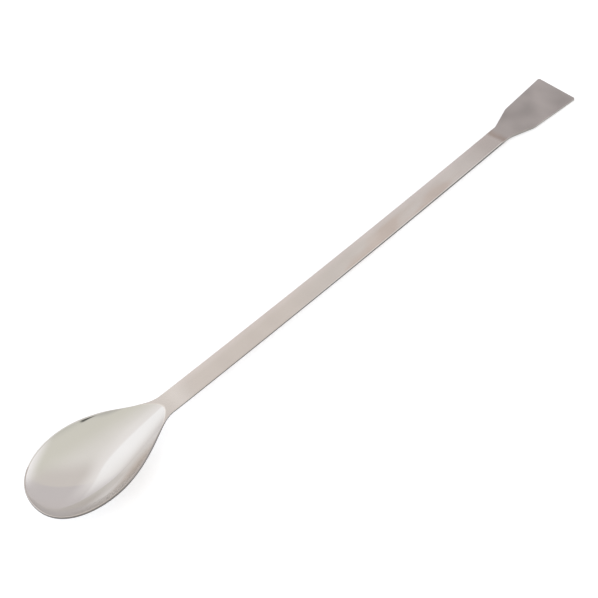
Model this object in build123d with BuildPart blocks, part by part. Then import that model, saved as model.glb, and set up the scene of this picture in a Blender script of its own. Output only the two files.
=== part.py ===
from build123d import *
import os
from math import cos, degrees, radians, sin, sqrt, tan

# Laboratory spatula in polished stainless steel, pressed and ground from one strip:
# an egg-shaped spoon bowl, a long flat handle and a flat blade that widens to its end.
# It lies as it rests on a bench, on the bottom of its bowl and the end of its blade.
# X runs from the tip of the bowl to the end of the blade, Z is up.
# The origin is on the bench, under the middle of the length.

# Overall sizes
overall_length = 300.0
handle_width = 8.6

# Bowl, seen from above
bowl_width = 33.2
widest_from_tip = 21.4
nose_fullness = 0.69
shoulder_fullness = 0.51
flank_angle = 17.2
flank_fullness = 0.243
neck_from_tip = 58.1
neck_radius = 14.0

# Blade, seen from above
blade_length = 42.2
shoulder_run = 13.0
blade_root_width = 16.6
blade_end_width = 20.6
left_shoulder_radius = 5.0
right_shoulder_radius = 15.0
left_cheek_radius = 6.0
right_cheek_radius = 10.0
blade_corner_radius = 1.0

# Thickness of the steel
bowl_wall = 1.05
neck_thickness = 0.8
handle_thickness = 1.6
blade_end_thickness = 1.0

# Side view of the strip: a bowed handle, a bend up at the neck, and the line of the rim
neck_bend_from_tip = 62.0
neck_height = 4.8
neck_bend_angle = 8.0
neck_bend_radius = 86.5
rim_arc_radius = 200.0
handle_bow = 1.14
blade_bend_from_end = 47.0
blade_bend_height = 2.2
blade_bend_radius = 300.0

# Hollow of the bowl: a profile down its middle, turned about an axis that dips to the neck
rim_land = 0.53
tip_slope = 53.4
tip_reach = 4.65
lowest_from_tip = 24.5
floor_reach = 10.2
crease_from_tip = 55.0
crease_slope = 9.4
crease_reach = 11.6
turning_height = 20.95
turning_tilt = 12.7

# Rounding of the upper edge, from the tip of the bowl to the end of the blade
edge_radius = 0.3

# Places along the length, from the tip of the bowl to the end of the blade
tip_x = -overall_length / 2
end_x = overall_length / 2
widest_x = tip_x + widest_from_tip
neck_x = tip_x + neck_from_tip
bend_x = tip_x + neck_bend_from_tip
blade_bend_x = end_x - blade_bend_from_end
shoulder_x = end_x - blade_length
cheek_x = shoulder_x + shoulder_run
lowest_x = tip_x + lowest_from_tip
crease_x = tip_x + crease_from_tip

half_handle = handle_width / 2
half_bowl = bowl_width / 2
overshoot = 3.0
tool_top = 2 * bowl_width


def even_reach(rise, bend_depth, bend_reach):
    # reach of the second piece of a curve that leaves a level joint with the same bend
    # as the first piece, which comes in from bend_depth over bend_reach
    return bend_reach * sqrt(rise / bend_depth)


def arc_reach(radius, turn):
    # reach of the end handles of a curve that follows an arc
    return 4 / 3 * tan(radians(turn / 4)) * radius


def direction(angle):
    return Vector(cos(radians(angle)), sin(radians(angle)))


# Outline from above: egg, handle and blade, with every corner rounded upright
with BuildPart() as plan_blank:
    with BuildSketch(Plane.XY.offset(-overshoot)):
        with BuildLine():
            neck_arc = CenterArc((neck_x, half_handle + neck_radius), neck_radius, -90, -flank_angle)
            flank_end = neck_arc @ 1
            flank_knot = flank_end - direction(-flank_angle) * flank_fullness * (flank_end.X - widest_x)
            nose_depth = half_bowl * (1 - nose_fullness)
            nose_reach = widest_from_tip * shoulder_fullness
            widest_reach = even_reach(half_bowl - flank_knot.Y, nose_depth, nose_reach)
            Bezier(
                (tip_x, 0),
                (tip_x, half_bowl - nose_depth),
                (widest_x - nose_reach, half_bowl),
                (widest_x, half_bowl),
            )
            Bezier(
                (widest_x, half_bowl),
                (widest_x + widest_reach, half_bowl),
                flank_knot,
                flank_end,
            )
            Line(neck_arc @ 0, (neck_x, 0))
            mirror(about=Plane.XZ)
        make_face()
        with BuildLine():
            Polyline(
                (widest_x, 0),
                (widest_x, half_handle),
                (shoulder_x, half_handle),
                (cheek_x, blade_root_width / 2),
                (end_x, blade_end_width / 2),
                (end_x, 0),
            )
            mirror(about=Plane.XZ)
        make_face()
    extrude(amount=tool_top)
    corner_radii = [
        (shoulder_x, 1, left_shoulder_radius),
        (shoulder_x, -1, right_shoulder_radius),
        (cheek_x, 1, left_cheek_radius),
        (cheek_x, -1, right_cheek_radius),
        (end_x, 1, blade_corner_radius),
        (end_x, -1, blade_corner_radius),
    ]
    for corner_x, side, radius in corner_radii:
        corner = plan_blank.edges().filter_by(Axis.Z).filter_by(
            lambda edge: abs(edge.center().X - corner_x) < 0.01 and edge.center().Y * side > 0
        )
        fillet(corner, radius)


# Axis that the bowl is turned about
turning_point = Vector(lowest_x, turning_height)
turning_line = direction(-turning_tilt)
turning_axis = Axis((lowest_x, 0, turning_height), (turning_line.X, 0, turning_line.Y))


def handle_line(neck_depth, shoulder_depth):
    # side view of the bowed handle, at the given depths below its upper face
    return SagittaArc(
        (bend_x, neck_height - neck_depth),
        (blade_bend_x, blade_bend_height - shoulder_depth),
        -handle_bow,
    )


def rim_line(start, heading, depth):
    # side view of the bend up at the neck and of the rim, to past the tip of the bowl
    bend = JernArc(start, heading * -1, neck_bend_radius + depth, -neck_bend_angle)
    rim_turn = degrees((bend_x - tip_x + overshoot) / rim_arc_radius)
    rim = JernArc(bend @ 1, bend % 1, rim_arc_radius - depth, rim_turn)
    return bend, rim


# Side view of the strip: its upper and its lower face
with BuildLine() as upper_face:
    handle_top = handle_line(0, 0)
    neck_top, rim_top = rim_line(handle_top @ 0, handle_top % 0, 0)
    blade_top = Line(handle_top @ 1, (end_x, blade_end_thickness))

with BuildLine() as lower_face:
    handle_under = handle_line(neck_thickness, handle_thickness)
    neck_under, rim_under = rim_line(handle_under @ 0, handle_under % 0, neck_thickness)
    blade_under = Line(handle_under @ 1, (end_x, 0))


def arc_height(arc, x, side):
    # height of an arc above (side 1) or below (side -1) its centre
    centre = arc.center_point
    return centre.Y + side * sqrt(arc.radius**2 - (x - centre.X) ** 2)


def bowl_line(depth):
    # a line down the middle of the bowl, from above the tip of the rim to above the neck,
    # then joined square to the turning axis: the hollow at depth 0, and the outside of the
    # bowl at the depth of its wall
    rim_x = tip_x + rim_land
    rim_point = Vector(rim_x, arc_height(rim_top, rim_x, 1))
    crease_point = Vector(crease_x, arc_height(neck_top, crease_x, -1))
    tip_rise = rim_point.Y - tip_reach * sin(radians(tip_slope)) - bowl_wall
    crease_rise = crease_point.Y - crease_reach * sin(radians(crease_slope)) - bowl_wall
    rear_reach = even_reach(crease_rise, tip_rise, floor_reach)

    start = rim_point + direction(-tip_slope - 90) * depth
    bottom = Vector(lowest_x, bowl_wall - depth)
    finish = crease_point + direction(crease_slope - 90) * depth
    front_wall = arc_reach(depth, tip_slope)
    rear_wall = arc_reach(depth, crease_slope)
    Bezier(
        start,
        start + direction(-tip_slope) * (tip_reach + front_wall),
        bottom - direction(0) * (floor_reach + front_wall),
        bottom,
    )
    Bezier(
        bottom,
        bottom + direction(0) * (rear_reach + rear_wall),
        finish - direction(crease_slope) * (crease_reach + rear_wall),
        finish,
    )
    ends = [start - direction(-tip_slope) * overshoot, finish + direction(crease_slope) * overshoot]
    feet = [turning_point + turning_line * (end - turning_point).dot(turning_line) for end in ends]
    Polyline(start, ends[0], feet[0], feet[1], ends[1], finish)


with BuildPart() as spatula:
    # outside of the bowl, up to the upper face of the strip
    with BuildSketch(Plane.XZ):
        with BuildLine():
            bowl_line(bowl_wall)
        make_face()
    revolve(axis=turning_axis)
    with BuildSketch(Plane.XZ):
        with BuildLine():
            add(upper_face.line)
            far_tip = rim_top @ 1
            Polyline(far_tip, (far_tip.X, -overshoot), (end_x, -overshoot), blade_top @ 1)
        make_face()
    extrude(amount=bowl_width, both=True, mode=Mode.INTERSECT)

    # strip: rim, neck, handle and blade
    with BuildSketch(Plane.XZ) as strip_section:
        with BuildLine():
            add(upper_face.line)
            add(lower_face.line)
            Line(rim_top @ 1, rim_under @ 1)
            Line(blade_top @ 1, blade_under @ 1)
        make_face()
        blade_bend = [
            corner for corner in strip_section.vertices() if abs(corner.X - blade_bend_x) < 0.01
        ]
        fillet(blade_bend, blade_bend_radius)
    extrude(amount=bowl_width, both=True)

    # outline from above, with its upper edge rounded: the rounding runs on from the end of
    # the blade, all the way round
    add(plan_blank.part, mode=Mode.INTERSECT)
    blade_end = spatula.faces().sort_by(Axis.X)[-1]
    fillet(blade_end.edges().filter_by(Axis.Y).sort_by(Axis.Z)[-1], edge_radius)

    # hollow of the bowl, which meets the neck in a crease
    with BuildSketch(Plane.XZ):
        with BuildLine():
            bowl_line(0)
        make_face()
    revolve(axis=turning_axis, mode=Mode.SUBTRACT)

os.makedirs("parts", exist_ok=True)
spatula.part.label = "spatula"
export_step(spatula.part, "parts/spatula.step")
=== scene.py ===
from functools import partial
from math import asin, atan2, cos, degrees, radians, sin, sqrt, tan

import bmesh
import bpy
from mathutils import Matrix, Vector


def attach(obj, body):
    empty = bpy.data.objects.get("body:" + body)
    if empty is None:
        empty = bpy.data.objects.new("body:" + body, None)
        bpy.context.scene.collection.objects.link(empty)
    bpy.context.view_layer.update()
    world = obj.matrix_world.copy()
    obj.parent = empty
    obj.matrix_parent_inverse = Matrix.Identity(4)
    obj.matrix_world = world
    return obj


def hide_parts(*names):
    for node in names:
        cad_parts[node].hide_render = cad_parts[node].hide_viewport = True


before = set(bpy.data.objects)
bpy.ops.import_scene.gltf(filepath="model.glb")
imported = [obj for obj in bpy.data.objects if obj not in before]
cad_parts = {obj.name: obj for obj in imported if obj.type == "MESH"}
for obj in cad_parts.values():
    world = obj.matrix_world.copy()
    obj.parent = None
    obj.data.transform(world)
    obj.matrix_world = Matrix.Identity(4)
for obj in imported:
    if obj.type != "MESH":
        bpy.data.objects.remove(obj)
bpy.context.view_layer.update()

mm = 0.001    # the sizes below are in millimetres


def hexColour(text):
    # sRGB hex to the linear colour that Blender's sockets take
    channels = [int(text[place:place + 2], 16) / 255 for place in (1, 3, 5)]
    return [c / 12.92 if c <= 0.04045 else ((c + 0.055) / 1.055) ** 2.4 for c in channels] + [1.0]


def addNode(tree, kind, sockets=(), **settings):
    # one node with its settings. Its live sockets are filled in order, or by name, with plain
    # values or links; a node given as a value stands for its first live output
    node = tree.nodes.new(kind)
    for name, value in settings.items():
        setattr(node, name, value)
    live = [socket for socket in node.inputs if socket.enabled]
    named = isinstance(sockets, dict)
    for place, value in sockets.items() if named else enumerate(sockets):
        socket = node.inputs[place] if named else live[place]
        if isinstance(value, bpy.types.Node):
            value = next(output for output in value.outputs if output.enabled)
        if isinstance(value, bpy.types.NodeSocket):
            tree.links.new(value, socket)
        else:
            socket.default_value = value
    return node


# The spatula is one strip of steel. Places along it are counted from the tip of the bowl.
# Left is +Y, the far side in the photograph.
spatula = {
    "length": 300.0,
    "handleWidth": 8.6,
    # bowl from above
    "bowlWidth": 33.2,
    "widestAt": 21.4,
    "noseFullness": 0.69,
    "shoulderFullness": 0.51,
    "flankAngle": 17.2,
    "flankFullness": 0.243,
    "neckAt": 58.1,
    "neckRadius": 14.0,
    # blade from above, with the roundings of the left side and of the right side
    "shoulderAt": 257.8,
    "cheekAt": 270.8,
    "bladeRootWidth": 16.6,
    "bladeEndWidth": 20.6,
    "leftRoundings": (5.0, 6.0, 1.0),
    "rightRoundings": (15.0, 10.0, 1.0),
    # thickness of the steel
    "bowlWall": 1.05,
    "neckThickness": 0.8,
    "handleThickness": 1.6,
    "bladeEndThickness": 1.0,
    # side view, drawn a little past both ends
    "neckBendAt": 62.0,
    "neckHeight": 4.8,
    "neckBend": 8.0,
    "neckBendRadius": 86.5,
    "rimRadius": 200.0,
    "handleBow": 1.14,
    "bladeBendAt": 253.0,
    "bladeBendHeight": 2.2,
    "bladeBendRadius": 300.0,
    "overshoot": 3.0,
    # hollow of the bowl, turned about an axis that dips to the neck
    "rimLand": 0.53,
    "tipSlope": 53.4,
    "tipReach": 4.65,
    "lowestAt": 24.5,
    "floorReach": 10.2,
    "creaseAt": 56.2,         # as in the photograph, 1.2 mm nearer the handle than on the solid
    "creaseSlope": 9.4,
    "creaseReach": 11.6,
    "turningHeight": 20.95,
    "turningTilt": 12.7,
    "turningReach": 85.0,     # degrees to each side
    # edges: the upper one is buffed rounder than the lower one
    "upperRounding": 0.3,
    "lowerRounding": 0.2,
    "creaseSoftness": 0.15,
    "undersideSoftness": 0.5,
    # rings of the mesh: parallel to the outline near it, then closing on a spine
    "evenRim": 0.9,           # width inside the outline where they stay parallel
    "evenShare": 0.25,        # share of the rings that lie there
    "noseFan": 24.0,          # length over which the mesh fans out to the tip
    "bladeFan": 20.0,         # and to the end of the blade
    "upperRings": 44,
    "lowerRings": 22,
    "edgeSteps": 5,
    # steps of the mesh along the outline
    "noseSteps": 84,
    "flankSteps": 110,
    "neckSteps": 20,
    "fineHandleSteps": 16,
    "fineHandleTo": 66.0,
    "handleSteps": 45,
    "handleTo": 246.0,
    "bladeSteps": [(12, 8), (12, 8), (20, 8), (8, 0)],    # straight run, then its rounding
    # steps of the surfaces that the net is dropped on
    "sideSteps": {"rim": 200, "bend": 60, "handle": 120, "rounding": 40, "blade": 12},
    "bowlSteps": {"end": 12, "wall": 240},
    "turnedRows": 420,
    "turnedColumns": 480,
    "ribbonWidth": 1.3,       # times the width of the bowl
    # the net drops from above everything; points nearer than the merge distance are one
    "dropHeight": 12.0,
    "dropLength": 50.0,
    "mergeDistance": 0.001,
}


def step(angle, length=1.0):
    return Vector((cos(radians(angle)), sin(radians(angle)))) * length


def headingOf(way):
    return degrees(atan2(way.y, way.x))


def arcReach(radius, turn):
    # reach of the end handles of a Bezier that follows an arc
    return 4 / 3 * tan(radians(turn / 4)) * radius


def straight(start, end, steps):
    return [start, start.lerp(end, 1 / 3), start.lerp(end, 2 / 3), end, steps]


def arc(start, heading, radius, turn, steps):
    # leaves start at a heading and turns left by the angle, or right if it is negative
    side = 1 if turn > 0 else -1
    centre = start + step(heading + 90 * side, radius)
    end = centre - step(heading + turn + 90 * side, radius)
    reach = arcReach(radius, abs(turn))
    return [start, start + step(heading, reach), end - step(heading + turn, reach), end, steps]


def roundedRun(corners, roundings, steps):
    # straight runs through the corners, each corner but the ends rounded
    pieces = []
    start = corners[0]
    for before, corner, after, radius, (runSteps, roundSteps) in zip(
        corners, corners[1:], corners[2:], roundings, steps
    ):
        heading = headingOf(corner - before)
        turn = headingOf(after - corner) - heading
        tangent = radius * tan(radians(abs(turn) / 2))
        pieces.append(straight(start, corner - step(heading, tangent), runSteps))
        pieces.append(arc(pieces[-1][3], heading, radius, turn, roundSteps))
        start = pieces[-1][3]
    pieces.append(straight(start, corners[-1], steps[-1][0]))
    return pieces


def sideOutline(s, roundings):
    # half of the outline from above, from the tip to the middle of the blade's end
    tip = -s["length"] / 2
    halfBowl = s["bowlWidth"] / 2
    halfHandle = s["handleWidth"] / 2
    widest = Vector((tip + s["widestAt"], halfBowl))
    neckCentre = Vector((tip + s["neckAt"], halfHandle + s["neckRadius"]))
    flankEnd = neckCentre + step(-90 - s["flankAngle"], s["neckRadius"])
    flankRun = s["flankFullness"] * (flankEnd.x - widest.x)
    flankKnot = flankEnd - step(-s["flankAngle"], flankRun)
    noseDepth = halfBowl * (1 - s["noseFullness"])
    noseReach = s["widestAt"] * s["shoulderFullness"]
    widestReach = noseReach * sqrt((halfBowl - flankKnot.y) / noseDepth)
    nose = [
        Vector((tip, 0)), Vector((tip, halfBowl - noseDepth)),
        widest - Vector((noseReach, 0)), widest, s["noseSteps"],
    ]
    flank = [widest, widest + Vector((widestReach, 0)), flankKnot, flankEnd, s["flankSteps"]]
    neck = arc(flankEnd, -s["flankAngle"], s["neckRadius"], s["flankAngle"], s["neckSteps"])
    fineEnd = Vector((tip + s["fineHandleTo"], halfHandle))
    handleEnd = Vector((tip + s["handleTo"], halfHandle))
    blade = roundedRun(
        [
            handleEnd,
            Vector((tip + s["shoulderAt"], halfHandle)),
            Vector((tip + s["cheekAt"], s["bladeRootWidth"] / 2)),
            Vector((-tip, s["bladeEndWidth"] / 2)),
            Vector((-tip, 0)),
        ],
        roundings,
        s["bladeSteps"],
    )
    return [
        nose,
        flank,
        neck,
        straight(neck[3], fineEnd, s["fineHandleSteps"]),
        straight(fineEnd, handleEnd, s["handleSteps"]),
        *blade,
    ]


def mirrored(pieces):
    # the same pieces on the right, walked back to the tip
    flip = Vector((1, -1))
    return [
        [*(point * flip for point in reversed(points)), steps]
        for *points, steps in reversed(pieces)
    ]


def sideLine(s, neckDepth, shoulderDepth, endDepth):
    # side view of the strip's upper face, or of a line at depths below it, and the centres
    # and radii of the two arcs that the bowl is fitted to
    tip = -s["length"] / 2
    steps = s["sideSteps"]
    neck = Vector((tip + s["neckBendAt"], s["neckHeight"] - neckDepth))
    bladeBend = Vector((tip + s["bladeBendAt"], s["bladeBendHeight"] - shoulderDepth))
    bladeEnd = Vector((-tip, s["bladeEndThickness"] - endDepth))

    chord = bladeBend - neck
    bow = s["handleBow"]
    handleRadius = (chord.length_squared / 4 + bow ** 2) / (2 * bow)
    halfTurn = degrees(asin(chord.length / 2 / handleRadius))
    neckHeading = headingOf(chord) - halfTurn
    shoulderHeading = headingOf(chord) + halfTurn
    bladeHeading = headingOf(bladeEnd - bladeBend)
    bladeTurn = shoulderHeading - bladeHeading
    tangent = s["bladeBendRadius"] * tan(radians(bladeTurn / 2))
    handleTurn = 2 * halfTurn - degrees(tangent / handleRadius)
    handle = arc(neck, neckHeading, handleRadius, handleTurn, steps["handle"])

    bladeStart = bladeBend + step(bladeHeading, tangent)
    reach = arcReach(s["bladeBendRadius"], bladeTurn)
    rounding = [
        handle[3], handle[3] + step(shoulderHeading, reach),
        bladeStart - step(bladeHeading, reach), bladeStart, steps["rounding"],
    ]
    bladePast = bladeEnd + step(bladeHeading, s["overshoot"])
    blade = straight(bladeStart, bladePast, steps["blade"])

    bendRadius = s["neckBendRadius"] + neckDepth
    bend = arc(neck, neckHeading + 180, bendRadius, -s["neckBend"], steps["bend"])
    rimRadius = s["rimRadius"] - neckDepth
    rimHeading = neckHeading + 180 - s["neckBend"]
    rimTurn = degrees((s["neckBendAt"] + s["overshoot"]) / s["rimRadius"])
    rim = arc(bend[3], rimHeading, rimRadius, rimTurn, steps["rim"])
    arcs = {
        "bend": (neck + step(neckHeading + 90, bendRadius), bendRadius),
        "rim": (bend[3] + step(rimHeading + 90, rimRadius), rimRadius),
    }
    return [rim, bend, handle, rounding, blade], arcs


def bowlLine(s, arcs, depth):
    # line down the middle of the bowl: its hollow at depth 0, its outside at its wall's depth
    tip = -s["length"] / 2
    steps = s["bowlSteps"]
    rimX = tip + s["rimLand"]
    creaseX = tip + s["creaseAt"]
    rimCentre, rimRadius = arcs["rim"]
    bendCentre, bendRadius = arcs["bend"]
    rimRise = sqrt(rimRadius ** 2 - (rimX - rimCentre.x) ** 2)
    bendDrop = sqrt(bendRadius ** 2 - (creaseX - bendCentre.x) ** 2)
    rimPoint = Vector((rimX, rimCentre.y + rimRise))
    crease = Vector((creaseX, bendCentre.y - bendDrop))
    tipRise = rimPoint.y - s["tipReach"] * sin(radians(s["tipSlope"])) - s["bowlWall"]
    creaseRise = crease.y - s["creaseReach"] * sin(radians(s["creaseSlope"])) - s["bowlWall"]
    rearReach = s["floorReach"] * sqrt(creaseRise / tipRise)
    frontWall = arcReach(depth, s["tipSlope"])
    rearWall = arcReach(depth, s["creaseSlope"])

    start = rimPoint + step(-s["tipSlope"] - 90, depth)
    bottom = Vector((tip + s["lowestAt"], s["bowlWall"] - depth))
    end = crease + step(s["creaseSlope"] - 90, depth)
    past = s["overshoot"]
    return [
        straight(start - step(-s["tipSlope"], past), start, steps["end"]),
        [
            start, start + step(-s["tipSlope"], s["tipReach"] + frontWall),
            bottom - Vector((s["floorReach"] + frontWall, 0)), bottom, steps["wall"],
        ],
        [
            bottom, bottom + Vector((rearReach + rearWall, 0)),
            end - step(s["creaseSlope"], s["creaseReach"] + rearWall), end, steps["wall"],
        ],
        straight(end, end + step(s["creaseSlope"], past), steps["end"]),
    ]


def drawCurve(name, pieces, upright):
    # the pieces as Bezier splines, lying flat or standing in the XZ plane
    curve = bpy.data.curves.new(name, "CURVE")
    curve.dimensions = "3D"
    for *points, steps in pieces:
        spots = [
            Vector((point.x, 0, point.y) if upright else (point.x, point.y, 0)) * mm
            for point in points
        ]
        spline = curve.splines.new("BEZIER")
        spline.bezier_points.add(1)
        spline.resolution_u = steps
        for knot, place, handle, outward in (
            (spline.bezier_points[0], spots[0], spots[1], "handle_right"),
            (spline.bezier_points[1], spots[3], spots[2], "handle_left"),
        ):
            knot.handle_left_type = knot.handle_right_type = "FREE"
            knot.co = knot.handle_left = knot.handle_right = place
            setattr(knot, outward, handle)
    drawing = bpy.data.objects.new(name, curve)
    bpy.context.scene.collection.objects.link(drawing)
    return drawing


def emptyTree(name, inputs, outputs):
    # an empty tree with named inputs and outputs, listed by kind
    tree = bpy.data.node_groups.new(name, "GeometryNodeTree")
    for way, kinds in (("OUTPUT", outputs), ("INPUT", inputs)):
        for kind, names in kinds.items():
            for socket in names:
                tree.interface.new_socket(socket, in_out=way, socket_type="NodeSocket" + kind)
    return tree


def heightTree():
    # height of the steel over a point: the strip's, or the bowl's where that is lower
    tree = emptyTree("Height of surface", {
        "Vector": ["Position"],
        "Geometry": ["Strip", "Bowl"],
        "Float": ["Softness", "Drop height", "Drop length"],
    }, {"Float": ["Height", "Hollow"]})
    add = partial(addNode, tree)
    given = add("NodeGroupInput").outputs
    place = add("ShaderNodeSeparateXYZ", [given["Position"]]).outputs
    above = add("ShaderNodeCombineXYZ", [place["X"], place["Y"], given["Drop height"]])
    hits, levels = {}, {}
    for surface in ("Strip", "Bowl"):
        hits[surface] = add("GeometryNodeRaycast", {
            "Target Geometry": given[surface], "Source Position": above,
            "Ray Direction": (0, 0, -1), "Ray Length": given["Drop length"],
        }).outputs
        hit = hits[surface]["Hit Position"]
        levels[surface] = add("ShaderNodeSeparateXYZ", [hit]).outputs["Z"]
    farAbove = 1.0    # metres, stands for no bowl here
    bowl = add("GeometryNodeSwitch", {
        "Switch": hits["Bowl"]["Is Hit"], "False": farAbove, "True": levels["Bowl"],
    }, input_type="FLOAT")
    softness = given["Softness"]
    lower = add("ShaderNodeMath", [levels["Strip"], bowl, softness], operation="SMOOTH_MIN")
    below = add("ShaderNodeMath", [levels["Strip"], bowl], operation="SUBTRACT")
    add("NodeGroupOutput", {"Height": lower, "Hollow": below})
    return tree


def spatulaTree(heights):
    # a fine net, drawn inside the outline, is dropped on the surfaces that the lines sweep
    tree = emptyTree("Spatula from one strip", {
        "Object": ["Outline", "Upper face", "Lower face", "Hollow", "Outside"],
        "Float": [
            "Upper rounding", "Lower rounding", "Even rim", "Even share",
            "Upper softness", "Lower softness", "Fan start", "Fan end", "Ribbon width",
            "Turning tilt", "Turning start", "Turning end",
            "Drop height", "Drop length", "Merge distance",
        ],
        "Vector": ["Turning point"],
        "Int": ["Upper rings", "Lower rings", "Edge steps", "Turned rows", "Turned columns"],
        "Material": ["Steel"],
    }, {"Geometry": ["Geometry"]})
    add = partial(addNode, tree)
    given = add("NodeGroupInput").outputs
    index = add("GeometryNodeInputIndex")
    position = add("GeometryNodeInputPosition")
    drawn = {
        name: add("GeometryNodeObjectInfo", {"Object": given[name]}).outputs["Geometry"]
        for name in ("Outline", "Upper face", "Lower face", "Hollow", "Outside")
    }

    def ribbon(name):
        # a side view carried across the strip, wider than the bowl
        line = add("GeometryNodeCurveToMesh", {"Curve": drawn[name]})
        line = add("GeometryNodeMergeByDistance", {
            "Geometry": line, "Distance": given["Merge distance"],
        })
        width = add("ShaderNodeCombineXYZ", {"Y": given["Ribbon width"]})
        halfBack = add("ShaderNodeVectorMath", [width, -0.5], operation="SCALE")
        line = add("GeometryNodeSetPosition", {"Geometry": line, "Offset": halfBack})
        return add("GeometryNodeExtrudeMesh", {
            "Mesh": line, "Offset": width, "Offset Scale": 1.0,
        }, mode="EDGES")

    def turned(name):
        # a line of the bowl turned about the tilted axis, a little under half way round
        rows, columns = given["Turned rows"], given["Turned columns"]
        grid = add("GeometryNodeMeshGrid", {"Vertices X": rows, "Vertices Y": columns})
        shares = []
        for operation, count in (("DIVIDE_FLOOR", rows), ("MODULO", columns)):
            place = add("FunctionNodeIntegerMath", [index, columns], operation=operation)
            last = add("FunctionNodeIntegerMath", [count, 1], operation="SUBTRACT")
            shares.append(add("ShaderNodeMath", [place, last], operation="DIVIDE"))
        along, around = shares
        spot = add("GeometryNodeSampleCurve", {
            "Curves": drawn[name], "Factor": along,
        }, mode="FACTOR", use_all_curves=True).outputs["Position"]
        axis = add("ShaderNodeVectorRotate", {
            "Vector": (1, 0, 0), "Angle": given["Turning tilt"],
        }, rotation_type="Y_AXIS")
        angle = add("ShaderNodeMapRange", {
            "Value": around, "To Min": given["Turning start"], "To Max": given["Turning end"],
        })
        swung = add("ShaderNodeVectorRotate", {
            "Vector": spot, "Center": given["Turning point"], "Axis": axis, "Angle": angle,
        }, rotation_type="AXIS_ANGLE")
        return add("GeometryNodeSetPosition", {"Geometry": grid, "Position": swung})

    points = add("GeometryNodeCurveToPoints", {"Curve": drawn["Outline"]}, mode="EVALUATED").outputs
    count = add("GeometryNodeAttributeDomainSize", [points["Points"]], component="POINTCLOUD")

    def sheet(rings):
        # a grid with one column for each point of the outline. Each of its points gets its
        # ring, its rim point, the way inwards, and its place on the spine
        grid = add("GeometryNodeMeshGrid", {"Vertices X": count, "Vertices Y": rings})
        column = add("FunctionNodeIntegerMath", [index, rings], operation="DIVIDE_FLOOR")
        ring = add("FunctionNodeIntegerMath", [index, rings], operation="MODULO")
        last = add("FunctionNodeIntegerMath", [count, 1], operation="SUBTRACT")
        partner = add("FunctionNodeIntegerMath", [last, column], operation="SUBTRACT")
        rim, opposite, tangent = [
            add("GeometryNodeSampleIndex", {
                "Geometry": points["Points"], "Value": value, "Index": place,
            }, data_type="FLOAT_VECTOR")
            for value, place in (
                (position, column), (position, partner), (points["Tangent"], column),
            )
        ]
        tangent = add("ShaderNodeSeparateXYZ", [tangent]).outputs
        back = add("ShaderNodeMath", [tangent["X"], -1], operation="MULTIPLY")
        inward = add("ShaderNodeCombineXYZ", [tangent["Y"], back])
        middle = add("ShaderNodeVectorMath", [rim, opposite], operation="ADD")
        middle = add("ShaderNodeVectorMath", [middle, 0.5], operation="SCALE")
        middle = add("ShaderNodeSeparateXYZ", [middle]).outputs
        # the spine stops short of both ends, where the rings fan out
        spineX = middle["X"]
        for end, operation in (("Fan start", "MAXIMUM"), ("Fan end", "MINIMUM")):
            halfway = add("ShaderNodeMath", [middle["X"], given[end]], operation="ADD")
            halfway = add("ShaderNodeMath", [halfway, 0.5], operation="MULTIPLY")
            spineX = add("ShaderNodeMath", [spineX, halfway], operation=operation)
        spine = add("ShaderNodeCombineXYZ", [spineX, middle["Y"]])
        return grid, ring, rim, inward, spine

    def inside(rim, inward, distance):
        # the place at a distance inside the rim point
        inset = add("ShaderNodeVectorMath", [inward, distance], operation="SCALE")
        return add("ShaderNodeVectorMath", [rim, inset], operation="ADD")

    def moved(grid, place, level):
        # the grid with its points over the places, at the level
        flat = add("ShaderNodeSeparateXYZ", [place]).outputs
        spot = add("ShaderNodeCombineXYZ", [flat["X"], flat["Y"], level])
        return add("GeometryNodeSetPosition", {"Geometry": grid, "Position": spot})

    surfaces = {
        side: {
            "Strip": ribbon(side + " face"),
            "Bowl": turned(bowl),
            "Softness": given[side + " softness"],
            "Drop height": given["Drop height"],
            "Drop length": given["Drop length"],
        }
        for side, bowl in (("Upper", "Hollow"), ("Lower", "Outside"))
    }

    def face(side):
        # upper or lower face: even rings beside the rounding, then rings that close on the spine
        rings = given[side + " rings"]
        grid, ring, rim, inward, spine = sheet(rings)
        last = add("FunctionNodeIntegerMath", [rings, 1], operation="SUBTRACT")
        share = add("ShaderNodeMath", [ring, last], operation="DIVIDE")
        distance = add("ShaderNodeMapRange", {
            "Value": share, "From Max": given["Even share"],
            "To Min": given[side + " rounding"], "To Max": given["Even rim"],
        })
        closing = add("ShaderNodeMapRange", {"Value": share, "From Min": given["Even share"]})
        place = inside(rim, inward, distance)
        place = add("ShaderNodeMix", [closing, place, spine], data_type="VECTOR")
        surface = add("GeometryNodeGroup", {
            "Position": place, **surfaces[side],
        }, node_tree=heights).outputs
        return moved(grid, place, surface["Height"]), surface["Hollow"]

    upper, hollow = face("Upper")
    upper = add("GeometryNodeStoreNamedAttribute", {
        "Geometry": upper, "Name": "hollow", "Value": hollow,
    }, data_type="FLOAT")
    lower, _ = face("Lower")

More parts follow.
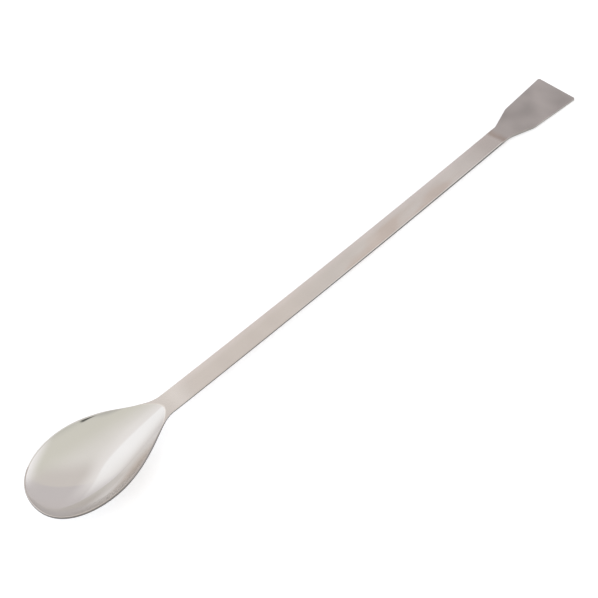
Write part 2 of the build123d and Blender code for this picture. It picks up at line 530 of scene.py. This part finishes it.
    # the edge: a rounding, an upright wall and a rounding, each a quarter turn
    steps = given["Edge steps"]
    lowerStart = add("FunctionNodeIntegerMath", [steps, 1], operation="ADD")
    lowerEnd = add("FunctionNodeIntegerMath", [lowerStart, steps], operation="ADD")
    rows = add("FunctionNodeIntegerMath", [lowerEnd, 1], operation="ADD")
    grid, ring, rim, inward, _ = sheet(rows)
    distances, levels = [], []
    for side, start, end, inwards, upwards, shift in (
        ("Upper", 0, steps, "SINE", "COSINE", "SUBTRACT"),
        ("Lower", lowerStart, lowerEnd, "COSINE", "SINE", "ADD"),
    ):
        rounding = given[side + " rounding"]
        turn = add("ShaderNodeMapRange", [ring, start, end, 0, radians(90)])
        away = {}
        for wave in (inwards, upwards):
            share = add("ShaderNodeMath", [turn], operation=wave)
            share = add("ShaderNodeMath", [1, share], operation="SUBTRACT")
            away[wave] = add("ShaderNodeMath", [rounding, share], operation="MULTIPLY")
        surface = add("GeometryNodeGroup", {
            "Position": inside(rim, inward, rounding), **surfaces[side],
        }, node_tree=heights).outputs
        distances.append(away[inwards])
        levels.append(add("ShaderNodeMath", [surface["Height"], away[upwards]], operation=shift))
    distance = add("ShaderNodeMath", distances, operation="ADD")
    onLower = add("FunctionNodeCompare", [ring, steps], data_type="INT", operation="GREATER_THAN")
    level = add("GeometryNodeSwitch", [onLower, *levels], input_type="FLOAT")
    edge = moved(grid, inside(rim, inward, distance), level)
    edge = add("GeometryNodeStoreNamedAttribute", {
        "Geometry": edge, "Name": "edge", "Value": 1.0,
    }, data_type="FLOAT")

    upper = add("GeometryNodeFlipFaces", [upper])
    joined = add("GeometryNodeJoinGeometry")
    for part in (upper, edge, lower):
        tree.links.new(part.outputs[0], joined.inputs[0])
    merged = add("GeometryNodeMergeByDistance", {
        "Geometry": joined, "Distance": given["Merge distance"],
    })
    smooth = add("GeometryNodeSetShadeSmooth", [merged])
    real = add("GeometryNodeRealizeInstances", [smooth])
    dressed = add("GeometryNodeSetMaterial", {"Geometry": real, "Material": given["Steel"]})
    add("NodeGroupOutput", [dressed])
    return tree


# Austenitic stainless strip, rolled, pressed and barrel-polished. It gives the eye three finishes
# of one metal: the buffed bowl mirrors the room, the handle is a soft satin with faint brown
# patches, and the blade, rolled out thinner and ground, is duller, greyer and finely lined.
steel = {
    "handleColour": "#e6e3e0",
    "stainColour": "#dccfc6",      # soft brown patches down the middle of the handle
    "sideHighlightColour": "#f0ebea",     # painted highlight: lighter band beside the handle's left edge and by the neck
    "darkEndColour": "#c9c3c0",       # darker end of the handle beside the blade
    # painted highlight: the neck is drawn lighter
    "neckHighlightColour": "#edeae7",
    "cornerHighlightColour": "#ffffff",     # painted highlight along the rounding of the handle's upper edges
    "bowlColour": "#e5e4e3",
    "bowlShadeColour": "#c1b6ac",       # painted shade over the near wall of the bowl
    "rimShadeColour": "#c4bfbc",        # painted shade on the flat rim of the bowl on its near side
    "bladeColour": "#bebab9",
    "heatColour": "#a08d80",       # tint where the ground finish begins
    "shadedWallColour": "#75716f",       # sheared side of the strip, its colour darkened further by painted shade
    # the blade's sheared side, lighter, also with painted shade
    "shadedBladeWallColour": "#a39e9b",
    # how much of a colour shows where it is full
    "stainStrength": 0.6,
    "evenStain": 0.35,             # share of the stain beside the neck, where it has no patches
    "sideHighlightStrength": 0.6,
    "darkEndStrength": 0.7,
    "heatStrength": 0.5,
    "handleRoughness": 0.22,
    "bowlRoughness": 0.06,
    "bladeRoughness": 0.34,
    "steepRoughness": 0.2,         # steep near wall of the bowl, which the wheel reaches less
    "wallRoughness": 0.42,
    "patchRoughness": 0.06,        # how far the mottling changes it
    # mottling, as a share of the colour
    "handleMottle": 0.15,
    "bowlMottle": 0.05,
    "bladeMottle": 0.6,
    # grinding lines, as a share of their height
    "handleGrain": 0.4,
    "bowlGrain": 0.03,
    "bladeGrain": 1.0,
    "grainHeight": 0.0025,         # mm
    # mm along, across and up for each pattern
    "patterns": {
        "mottle": (12.0, 12.0, 12.0),    # patches left by the barrel polishing
        "stain": (18.0, 7.0, 7.0),
        "grain": (14.0, 0.35, 0.35),     # drawn coarser than real so that it shows
    },
    "patternDetail": 1.0,
    # where the painted shade in the bowl lies, in mm from the middle of the length, turned by
    # degrees
    "bowlShadeAt": (-116.5, -13.0, 0.0),
    "bowlShadeTurn": 10.0,
    "bowlShadeLength": 23.0,
    "bowlShadeWidth": 6.5,
    # the near side lies right of this line, which swings left round the tip of the bowl
    "nearSideAcross": -2.0,
    "tipLineSlope": -1.2,
    "tipLineOffset": -158.4,
    "bladeWaver": 6.0,             # mm by which the mottling bends the start of the blade's finish
    # where each zone fades in: its measure, where there is none of it, and where it is full.
    # In mm: along and bladeAlong from the tip, across to the left, the hollow's depth, and the
    # distance from the near side's line. The other measures have no unit
    "zones": {
        "land": ("along", 52.0, 46.0),             # rim of the bowl, outside the hollow
        "hollow": ("depth", 0.0, 0.2),
        "steep": ("depth", 5.0, 2.0),
        "near": ("fromNearLine", 2.0, -2.0),
        "upwards": ("up", -0.1, 0.1),
        "bowlShade": ("fromBowlShade", 1.0, 0.0),
        "neck": ("along", 70.0, 60.0),
        "highlightByNeck": ("along", 68.0, 58.0),
        "highlightBySide": ("across", 0.8, 3.8),
        "stainSide": ("across", 3.0, 0.5),
        "stainPatches": ("stain", 0.45, 0.68),
        "stainStart": ("along", 62.0, 72.0),
        "stainBreaks": ("along", 110.0, 150.0),    # from even to patchy
        "stainEnd": ("along", 235.0, 215.0),
        "darkEnd": ("along", 225.0, 250.0),
        "blade": ("bladeAlong", 251.5, 254.5),
        "heatEnd": ("bladeAlong", 257.5, 253.5),
        "edge": ("edge", 0.2, 0.8),
        "sideways": ("facing", 0.85, 0.45),
        "bright": ("facing", 0.6, 0.9),
        "brightStart": ("along", 110.0, 140.0),
    },
}


def steelMaterial(s, length):
    material = bpy.data.materials.new("Polished stainless steel strip")
    material.use_nodes = True
    tree = material.node_tree
    add = partial(addNode, tree)
    shader = tree.nodes["Principled BSDF"]
    shader.inputs["Metallic"].default_value = 1.0

    coordinates = add("ShaderNodeTexCoord").outputs
    inMm = add("ShaderNodeVectorMath", [coordinates["Object"], 1 / mm], operation="SCALE")
    spot = add("ShaderNodeSeparateXYZ", [inMm]).outputs
    pattern = {}
    for name, sizes in s["patterns"].items():
        scale = [1 / size for size in sizes]
        place = add("ShaderNodeVectorMath", [inMm, scale], operation="MULTIPLY")
        pattern[name] = add("ShaderNodeTexNoise", {
            "Vector": place, "Scale": 1.0, "Detail": s["patternDetail"],
        })
    patch = add("ShaderNodeMath", [pattern["mottle"], 0.5], operation="SUBTRACT")

    # what the zones are measured on
    along = add("ShaderNodeMath", [spot["X"], length / 2], operation="ADD")
    up = add("ShaderNodeSeparateXYZ", [coordinates["Normal"]]).outputs["Z"]
    stored = {
        name: add("ShaderNodeAttribute", attribute_name=name).outputs["Fac"]
        for name in ("hollow", "edge")
    }
    tipLine = add("ShaderNodeMath", [
        spot["X"], s["tipLineSlope"], s["tipLineOffset"],
    ], operation="MULTIPLY_ADD")
    nearLine = add("ShaderNodeMath", [tipLine, s["nearSideAcross"]], operation="MAXIMUM")
    # the painted shade in the bowl fades out over an ellipse round its place
    bowlShadeSize = (1 / s["bowlShadeLength"], 1 / s["bowlShadeWidth"], 0.0)
    toBowlShade = add("ShaderNodeVectorMath", [inMm, s["bowlShadeAt"]], operation="SUBTRACT")
    toBowlShade = add("ShaderNodeVectorRotate", {
        "Vector": toBowlShade, "Angle": radians(-s["bowlShadeTurn"]),
    }, rotation_type="Z_AXIS")
    toBowlShade = add("ShaderNodeVectorMath", [toBowlShade, bowlShadeSize], operation="MULTIPLY")
    wavering = add("ShaderNodeMath", [patch, s["bladeWaver"], along], operation="MULTIPLY_ADD")
    measures = {
        "along": along,
        "across": spot["Y"],
        "bladeAlong": wavering,
        "depth": add("ShaderNodeMath", [stored["hollow"], 1 / mm], operation="MULTIPLY"),
        "fromNearLine": add("ShaderNodeMath", [spot["Y"], nearLine], operation="SUBTRACT"),
        "fromBowlShade": add("ShaderNodeVectorMath", [toBowlShade], operation="LENGTH"),
        "stain": pattern["stain"],
        "edge": stored["edge"],
        "up": up,
        "facing": add("ShaderNodeMath", [up], operation="ABSOLUTE"),
    }
    zone = {
        name: add("ShaderNodeMapRange", [
            measures[measure], none, full,
        ], interpolation_type="SMOOTHSTEP")
        for name, (measure, none, full) in s["zones"].items()
    }
    bowl = add("ShaderNodeMath", [zone["hollow"], zone["land"]], operation="MAXIMUM")
    land = add("ShaderNodeMath", [bowl, zone["hollow"]], operation="SUBTRACT")
    sideHighlight = add("ShaderNodeMath", [zone["highlightBySide"], zone["highlightByNeck"]], operation="MAXIMUM")
    patches = add("ShaderNodeMath", [zone["stainPatches"], zone["stainSide"]], operation="MULTIPLY")
    blade = zone["blade"]
    wall = [zone["edge"], zone["sideways"]]

    def layered(kind, base, *layers):
        # the base with each layer laid over it, as far as the product of its zones says
        for layer, cover, *others in layers:
            for other in others:
                cover = add("ShaderNodeMath", [cover, other], operation="MULTIPLY")
            base = add("ShaderNodeMix", [cover, base, layer], data_type=kind)
        return base

    colours = {name: hexColour(value) for name, value in s.items() if name.endswith("Colour")}
    stained = layered("FLOAT", s["evenStain"], (patches, zone["stainBreaks"]))
    colour = layered(
        "RGBA", colours["handleColour"],
        (colours["stainColour"], stained, zone["stainStart"], zone["stainEnd"], s["stainStrength"]),
        # painted highlight along the handle's left edge and by the neck
        (colours["sideHighlightColour"], sideHighlight, s["sideHighlightStrength"]),
        (colours["darkEndColour"], zone["darkEnd"], s["darkEndStrength"]),
        # painted highlight on the neck
        (colours["neckHighlightColour"], zone["neck"]),
        # painted highlight on the upper roundings of the handle
        (colours["cornerHighlightColour"], zone["edge"], zone["bright"], zone["brightStart"]),
        # the bowl's colour, with its painted shade
        (layered("RGBA", colours["bowlColour"], (colours["bowlShadeColour"], zone["bowlShade"])), bowl),
        # painted shade on the near side of the rim
        (colours["rimShadeColour"], land, zone["near"], zone["upwards"]),
        (colours["bladeColour"], blade),
        (colours["heatColour"], blade, zone["heatEnd"], s["heatStrength"]),
        # sheared sides: a real duller edge, darkened further by painted shade
        (layered("RGBA", colours["shadedWallColour"], (colours["shadedBladeWallColour"], blade)), *wall),
    )
    mottle = layered(
        "FLOAT", s["handleMottle"], (s["bowlMottle"], bowl), (s["bladeMottle"], blade)
    )
    shade = add("ShaderNodeMath", [patch, mottle, 1.0], operation="MULTIPLY_ADD")
    colour = add("ShaderNodeVectorMath", [colour, shade], operation="SCALE")
    rough = layered(
        "FLOAT", s["handleRoughness"],
        (s["bowlRoughness"], bowl),
        (s["bladeRoughness"], blade),
        (s["steepRoughness"], zone["hollow"], zone["near"], zone["steep"]),
        (s["wallRoughness"], *wall),
    )
    rough = add("ShaderNodeMath", [patch, s["patchRoughness"], rough], operation="MULTIPLY_ADD")
    ground = layered(
        "FLOAT", s["handleGrain"], (s["bowlGrain"], bowl), (s["bladeGrain"], blade)
    )
    lines = add("ShaderNodeMath", [pattern["grain"], ground], operation="MULTIPLY")
    bump = add("ShaderNodeBump", {"Height": lines, "Distance": s["grainHeight"] * mm})
    for socket, source in (("Base Color", colour), ("Roughness", rough), ("Normal", bump)):
        tree.links.new(source.outputs[0], shader.inputs[socket])
    print("steel:", len(s["zones"]), "zones of the finish")
    return material


def makeSpatula(s):
    tip = -s["length"] / 2
    outline = sideOutline(s, s["leftRoundings"]) + mirrored(sideOutline(s, s["rightRoundings"]))
    upperLine, arcs = sideLine(s, 0, 0, 0)
    lowerLine, _ = sideLine(s, s["neckThickness"], s["handleThickness"], s["bladeEndThickness"])
    drawings = {
        "Outline": drawCurve("outline", outline, False),
        "Upper face": drawCurve("upperFace", upperLine, True),
        "Lower face": drawCurve("lowerFace", lowerLine, True),
        "Hollow": drawCurve("hollowLine", bowlLine(s, arcs, 0), True),
        "Outside": drawCurve("outsideLine", bowlLine(s, arcs, s["bowlWall"]), True),
    }
    print("spatula:", len(drawings), "lines drawn")

    tree = spatulaTree(heightTree())
    draft = bpy.data.objects.new("spatulaDraft", bpy.data.meshes.new("spatulaDraft"))
    bpy.context.scene.collection.objects.link(draft)
    modifier = draft.modifiers.new("Spatula", "NODES")
    modifier.node_group = tree
    values = {
        **drawings,
        "Upper rounding": s["upperRounding"] * mm,
        "Lower rounding": s["lowerRounding"] * mm,
        "Even rim": s["evenRim"] * mm,
        "Even share": s["evenShare"],
        "Upper softness": s["creaseSoftness"] * mm,
        "Lower softness": s["undersideSoftness"] * mm,
        "Fan start": (tip + s["noseFan"]) * mm,
        "Fan end": (-tip - s["bladeFan"]) * mm,
        "Ribbon width": s["ribbonWidth"] * s["bowlWidth"] * mm,
        "Turning tilt": radians(s["turningTilt"]),
        "Turning start": radians(-s["turningReach"]),
        "Turning end": radians(s["turningReach"]),
        "Turning point": Vector((tip + s["lowestAt"], 0, s["turningHeight"])) * mm,
        "Drop height": s["dropHeight"] * mm,
        "Drop length": s["dropLength"] * mm,
        "Merge distance": s["mergeDistance"] * mm,
        "Upper rings": s["upperRings"],
        "Lower rings": s["lowerRings"],
        "Edge steps": s["edgeSteps"],
        "Turned rows": s["turnedRows"],
        "Turned columns": s["turnedColumns"],
        "Steel": steelMaterial(steel, s["length"]),
    }
    for item in tree.interface.items_tree:
        if item.in_out == "INPUT":
            modifier[item.identifier] = values[item.name]
    graph = bpy.context.evaluated_depsgraph_get()
    mesh = bpy.data.meshes.new_from_object(draft.evaluated_get(graph))
    mesh.name = "spatulaSteel"
    while mesh.materials[0] is None:    # the draft's empty slot
        mesh.materials.pop(index=0)
    made = bpy.data.objects.new("spatulaSteel", mesh)
    bpy.context.scene.collection.objects.link(made)
    for spent in [draft, *drawings.values()]:
        bpy.data.objects.remove(spent)
    return made


piece = makeSpatula(spatula)
check = bmesh.new()
check.from_mesh(piece.data)
triangles = sum(len(face.verts) - 2 for face in check.faces)
openEdges = sum(not edge.is_manifold for edge in check.edges)
volume = check.calc_volume(signed=True) / mm ** 3
print("spatula:", len(check.faces), "faces,", triangles, "triangles,", openEdges, "open edges,",
      round(volume, 1), "mm3")
check.free()
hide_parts("spatula")
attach(piece, "root")

# camera at the photograph's place, in mm
photoCamera = {
    "place": (-196.6, -165.4, 310.6),
    "aim": (-22.73, 1.22, 0.0),
    "lens": 60.39,
    "sensor": 36.0,
    "nearest": 10.0,
}


def makeCamera(c):
    camera = bpy.data.objects.new("photoCamera", bpy.data.cameras.new("photoCamera"))
    bpy.context.scene.collection.objects.link(camera)
    camera.data.lens = c["lens"]
    camera.data.sensor_width = c["sensor"]
    camera.data.clip_start = c["nearest"] * mm
    place = Vector(c["place"]) * mm
    aim = Vector(c["aim"]) * mm
    turn = (aim - place).to_track_quat("-Z", "Y").to_matrix().to_4x4()
    camera.matrix_world = Matrix.Translation(place) @ turn
    bpy.context.scene.camera = camera
    print("camera:", round((aim - place).length / mm), "mm from what it looks at")


makeCamera(photoCamera)

# Matt white paper. It shows a little lighter to the eye and in the steel than it is lit, which
# takes it to plain white and leaves the shadow.
paper = {
    "colour": "#f0f3f9",
    "roughness": 0.9,
    "specular": 0.1,
    "lift": 0.42,
    "size": 6.0,    # metres
}


def makeFloor(p):
    material = bpy.data.materials.new("Matt white paper")
    material.use_nodes = True
    tree = material.node_tree
    add = partial(addNode, tree)
    shader = tree.nodes["Principled BSDF"]
    shader.inputs["Base Color"].default_value = hexColour(p["colour"])
    shader.inputs["Roughness"].default_value = p["roughness"]
    shader.inputs["Specular IOR Level"].default_value = p["specular"]
    rays = add("ShaderNodeLightPath").outputs
    seen = rays["Is Camera Ray"]
    for ray in ("Is Glossy Ray", "Is Transmission Ray"):
        seen = add("ShaderNodeMath", [seen, rays[ray]], operation="MAXIMUM")
    lift = add("ShaderNodeMath", [seen, p["lift"]], operation="MULTIPLY")
    glow = add("ShaderNodeEmission", {"Strength": lift})
    both = add("ShaderNodeAddShader", [shader, glow])
    tree.links.new(both.outputs[0], tree.nodes["Material Output"].inputs["Surface"])
    mesh = bpy.data.meshes.new("floor")
    half = p["size"] / 2
    corners = [(-half, -half, 0), (half, -half, 0), (half, half, 0), (-half, half, 0)]
    mesh.from_pydata(corners, [], [range(len(corners))])
    mesh.materials.append(material)
    floor = bpy.data.objects.new("floor", mesh)
    bpy.context.scene.collection.objects.link(floor)
    print("floor:", p["size"], "m of paper")


# Plain studio: pale air with broad soft panels, laid out as the bowl in the photograph mirrors
# them. They lie on a map of the sky, in degrees from overhead, +X to the right and +Y up. Each
# is turned by an angle, and has one or more edges, each with half the width over which it fades.
studio = {
    "air": (0.86, 0.83, 0.785),
    "panels": [
        {"turn": 31, "left": (17.5, 14), "light": (0.731, 0.682, 0.645)},
        {"turn": -90, "left": (23, 22), "light": (0.762, 0.742, 0.664)},
        {"turn": 31, "left": (43.3, 1.2), "light": (0.668, 0.625, 0.620)},
        {"turn": -90, "left": (70, 10), "light": (0.60, 0.60, 0.54)},
        {"turn": -34, "left": (62.5, 9.4), "bottom": (-58, 19), "top": (26.5, 17.6),
         "light": (1.15, 1.12, 1.13)},
        {"turn": 45, "left": (70, 15), "bottom": (-40, 20), "top": (9.7, 9.6),
         "light": (0.66, 0.61, 0.60)},
        {"turn": 50.7, "left": (-8, 14.4), "right": (59.5, 18), "bottom": (5.7, 11.9),
         "top": (38, 20), "light": (0.985, 0.95, 0.93)},
        {"turn": 49.3, "left": (-2.4, 13.8), "right": (55, 31), "bottom": (16.8, 2),
         "top": (55, 20), "light": (1.10, 1.09, 1.09)},
        {"turn": 180, "left": (5, 3), "top": (-4, 14), "light": (1.12, 1.10, 1.09)},
        {"turn": 220, "left": (62, 10), "bottom": (-50, 12), "top": (30, 8),
         "light": (0.22, 0.21, 0.20)},
        {"turn": 0, "left": (-30, 10), "right": (-11, 1.5), "bottom": (-70, 4),
         "top": (-49, 2), "light": (0.55, 0.54, 0.50)},
        {"turn": 266, "left": (65.6, 1), "bottom": (-6.6, 1), "top": (-2.2, 1),
         "light": (0.12, 0.12, 0.11)},
    ],
}


def makeStudio(s):
    world = bpy.data.worlds.new("Soft studio")
    bpy.context.scene.world = world
    world.use_nodes = True
    tree = world.node_tree
    add = partial(addNode, tree)

    # the map: a direction's angle from overhead, laid out along its bearing
    ray = add("ShaderNodeSeparateXYZ", [add("ShaderNodeTexCoord").outputs["Generated"]]).outputs
    angle = add("ShaderNodeMath", [ray["Z"]], operation="ARCCOSINE")
    angle = add("ShaderNodeMath", [angle, degrees(1)], operation="MULTIPLY")
    level = add("ShaderNodeMath", [ray["Z"], ray["Z"]], operation="MULTIPLY")
    level = add("ShaderNodeMath", [1.0, level], operation="SUBTRACT")
    level = add("ShaderNodeMath", [level], operation="SQRT")
    leastLevel = 0.001    # so that nothing is divided by zero overhead
    level = add("ShaderNodeMath", [level, leastLevel], operation="MAXIMUM")
    spread = add("ShaderNodeMath", [angle, level], operation="DIVIDE")
    sky = add("ShaderNodeCombineXYZ", [
        add("ShaderNodeMath", [ray[axis], spread], operation="MULTIPLY") for axis in ("X", "Y")
    ])

    light = s["air"]
    for panel in s["panels"]:
        turned = add("ShaderNodeVectorRotate", {
            "Vector": sky, "Angle": radians(-panel["turn"]),
        }, rotation_type="Z_AXIS")
        spot = add("ShaderNodeSeparateXYZ", [turned]).outputs
        cover = 1.0
        for edge, axis, side in (
            ("left", "X", 1), ("right", "X", -1), ("bottom", "Y", 1), ("top", "Y", -1),
        ):
            if edge in panel:
                place, fade = panel[edge]
                within = add("ShaderNodeMapRange", [
                    spot[axis], place - side * fade, place + side * fade,
                ], interpolation_type="SMOOTHSTEP")
                cover = add("ShaderNodeMath", [cover, within], operation="MULTIPLY")
        light = add("ShaderNodeMix", [cover, light, panel["light"]], data_type="VECTOR")
    tree.links.new(light.outputs["Result"], tree.nodes["Background"].inputs["Color"])
    print("studio:", len(s["panels"]), "soft panels")


makeFloor(paper)
makeStudio(studio)
bpy.context.scene.view_settings.view_transform = "Standard"
